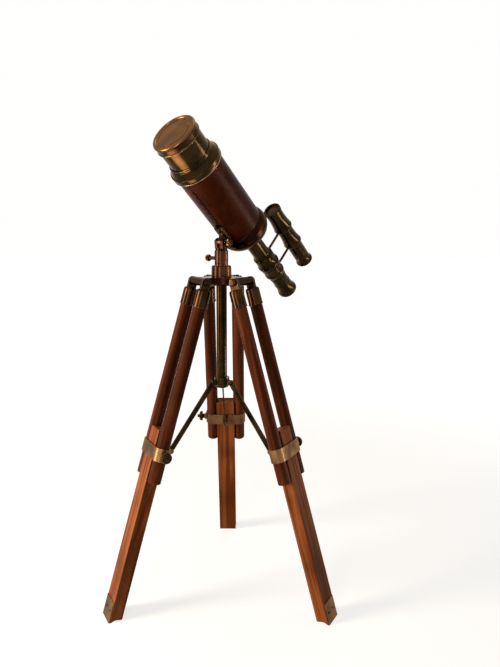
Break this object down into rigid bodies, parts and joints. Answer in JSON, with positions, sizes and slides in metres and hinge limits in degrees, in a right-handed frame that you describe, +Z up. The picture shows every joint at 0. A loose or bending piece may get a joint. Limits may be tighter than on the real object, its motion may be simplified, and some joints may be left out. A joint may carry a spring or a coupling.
{
  "type": "table-top refracting telescope on a folding wooden tripod",
  "caption": "Small brass and leather refracting telescope with a finder, on a swivelling fork over a folding wooden tripod with sliding lower legs.",
  "frame": {"origin": "on the surface that the feet stand on, at the centre of the circle through the three feet, under the centre pole", "axes": "+Z up along the centre pole, +Y from the centre towards the rear leg, +X to the right as seen by someone who looks along +Y"},
  "size_m": [0.3218, 0.2786, 0.656],
  "materials": {
    "dark_brass": "aged, satin",
    "worn_brass": "aged, rubbed",
    "coppery_brass": "aged, satin",
    "steel": "bronzed",
    "wood": "oiled, red-brown",
    "leather": "polished",
    "glass": "clear"
  },
  "bodies": {
    "head": {"head_plate": "dark_brass", "head_collar": "dark_brass", "centre_pole": "worn_brass", "pole_stop": "dark_brass", "leg_bolts": "steel"},
    "hub": {"spreader_hub": "dark_brass", "hub_rivets": "steel"},
    "leg_rear": {"leg_rods_rear": "wood", "leg_caps_rear": "worn_brass", "leg_clamp_rear": "worn_brass"},
    "clamp_knob_rear": {"clamp_screw_rear": "dark_brass"},
    "foot_rear": {"lower_leg_rear": "wood", "toe_plate_rear": "worn_brass"},
    "brace_rear": {"brace_rear": "dark_brass"},
    "leg_right": {"leg_rods_right": "wood", "leg_caps_right": "worn_brass", "leg_clamp_right": "worn_brass"},
    "clamp_knob_right": {"clamp_screw_right": "dark_brass"},
    "foot_right": {"lower_leg_right": "wood", "toe_plate_right": "worn_brass"},
    "brace_right": {"brace_right": "dark_brass"},
    "leg_left": {"leg_rods_left": "wood", "leg_caps_left": "worn_brass", "leg_clamp_left": "worn_brass"},
    "clamp_knob_left": {"clamp_screw_left": "dark_brass"},
    "foot_left": {"lower_leg_left": "wood", "toe_plate_left": "worn_brass"},
    "brace_left": {"brace_left": "dark_brass"},
    "swivel": {"swivel_sleeve": "dark_brass", "fork": "dark_brass", "tilt_nut": "steel"},
    "swivel_knob": {"swivel_screw": "worn_brass"},
    "tilt_knob": {"tilt_screw": "worn_brass"},
    "telescope": {"saddle": "steel", "saddle_screws": "steel", "main_tube": "worn_brass", "leather_sleeve": "leather", "front_bell": "dark_brass", "rear_bell": "coppery_brass", "dew_shield": "dark_brass", "objective_lens": "glass", "lens_ring": "dark_brass"},
    "cap": {"lens_cap": "coppery_brass"},
    "draw": {"draw_tube": "worn_brass", "front_swell": "worn_brass", "rear_swell": "worn_brass", "eyepiece_barrel": "worn_brass", "eyecup": "worn_brass", "eye_lens": "glass", "finder_struts": "dark_brass", "finder_tube": "dark_brass", "finder_lens": "glass"},
    "finder_eyepiece": {"finder_draw": "worn_brass", "finder_eyecup": "worn_brass", "finder_eye_lens": "glass"}
  },
  "joints": [
    {"name": "leg_fold_rear", "type": "hinge", "parent": "head", "child": "leg_rear", "pos_m": [0, 0.0332, 0.45], "axis": [-1, 0, 0], "range_deg": [0, 14.5]},
    {"name": "clamp_turn_rear", "type": "hinge", "parent": "leg_rear", "child": "clamp_knob_rear", "pos_m": [0, 0.10059, 0.22539], "axis": [-1, 0, 0], "range_deg": [-180, 180]},
    {"name": "leg_length_rear", "type": "slide", "parent": "leg_rear", "child": "foot_rear", "axis": [0, 0.2874, -0.9578], "range_m": [-0.15, 0.015]},
    {"name": "brace_fold_rear", "type": "hinge", "parent": "hub", "child": "brace_rear", "pos_m": [0, 0.0145, 0.3074], "axis": [-1, 0, 0], "range_deg": [-1, 34.78]},
    {"name": "leg_fold_right", "type": "hinge", "parent": "head", "child": "leg_right", "pos_m": [0.02875, -0.0166, 0.45], "axis": [0.5, 0.866, 0], "range_deg": [0, 14.5]},
    {"name": "clamp_turn_right", "type": "hinge", "parent": "leg_right", "child": "clamp_knob_right", "pos_m": [0.08711, -0.05029, 0.22539], "axis": [0.5, 0.866, 0], "range_deg": [-180, 180]},
    {"name": "leg_length_right", "type": "slide", "parent": "leg_right", "child": "foot_right", "axis": [0.2489, -0.1437, -0.9578], "range_m": [-0.15, 0.015]},
    {"name": "brace_fold_right", "type": "hinge", "parent": "hub", "child": "brace_right", "pos_m": [0.01256, -0.00725, 0.3074], "axis": [0.5, 0.866, 0], "range_deg": [-1, 34.78]},
    {"name": "leg_fold_left", "type": "hinge", "parent": "head", "child": "leg_left", "pos_m": [-0.02875, -0.0166, 0.45], "axis": [0.5, -0.866, 0], "range_deg": [0, 14.5]},
    {"name": "clamp_turn_left", "type": "hinge", "parent": "leg_left", "child": "clamp_knob_left", "pos_m": [-0.08711, -0.05029, 0.22539], "axis": [0.5, -0.866, 0], "range_deg": [-180, 180]},
    {"name": "leg_length_left", "type": "slide", "parent": "leg_left", "child": "foot_left", "axis": [-0.2489, -0.1437, -0.9578], "range_m": [-0.15, 0.015]},
    {"name": "brace_fold_left", "type": "hinge", "parent": "hub", "child": "brace_left", "pos_m": [-0.01256, -0.00725, 0.3074], "axis": [0.5, -0.866, 0], "range_deg": [-1, 34.78]},
    {"name": "hub_slide", "type": "slide", "parent": "head", "child": "hub", "axis": [0, 0, 1], "range_m": [-0.0002, 0.01935]},
    {"name": "swivel_turn", "type": "hinge", "parent": "head", "child": "swivel", "pos_m": [0, 0, 0.47135], "axis": [0, 0, 1], "continuous": true},
    {"name": "swivel_screw_turn", "type": "hinge", "parent": "swivel", "child": "swivel_knob", "pos_m": [0, 0, 0.48045], "axis": [-0.8059, 0.592, 0], "range_deg": [-180, 180]},
    {"name": "telescope_tilt", "type": "hinge", "parent": "swivel", "child": "telescope", "pos_m": [0, 0, 0.50205], "axis": [0.8059, -0.592, 0], "range_deg": [-26, 68.5]},
    {"name": "tilt_screw_turn", "type": "hinge", "parent": "swivel", "child": "tilt_knob", "pos_m": [0, 0, 0.50205], "axis": [0.8059, -0.592, 0], "range_deg": [-180, 180]},
    {"name": "cap_pull", "type": "slide", "parent": "telescope", "child": "cap", "axis": [-0.4601, -0.6263, 0.6293], "range_m": [0, 0.018]},
    {"name": "draw_focus", "type": "slide", "parent": "telescope", "child": "draw", "axis": [0.4601, 0.6263, -0.6293], "range_m": [-0.03, 0.025]},
    {"name": "finder_focus", "type": "slide", "parent": "draw", "child": "finder_eyepiece", "axis": [0.4601, 0.6263, -0.6293], "range_m": [0, 0.008]}
  ],
  "couplings": [
    {"joint": "brace_fold_rear", "follows": "leg_fold_rear", "ratio": 2.33},
    {"joint": "brace_fold_right", "follows": "leg_fold_rear", "ratio": 2.33},
    {"joint": "leg_fold_right", "follows": "leg_fold_rear", "ratio": 1},
    {"joint": "brace_fold_left", "follows": "leg_fold_rear", "ratio": 2.33},
    {"joint": "leg_fold_left", "follows": "leg_fold_rear", "ratio": 1},
    {"joint": "hub_slide", "follows": "leg_fold_rear", "m_per_rad": 0.0745}
  ]
}
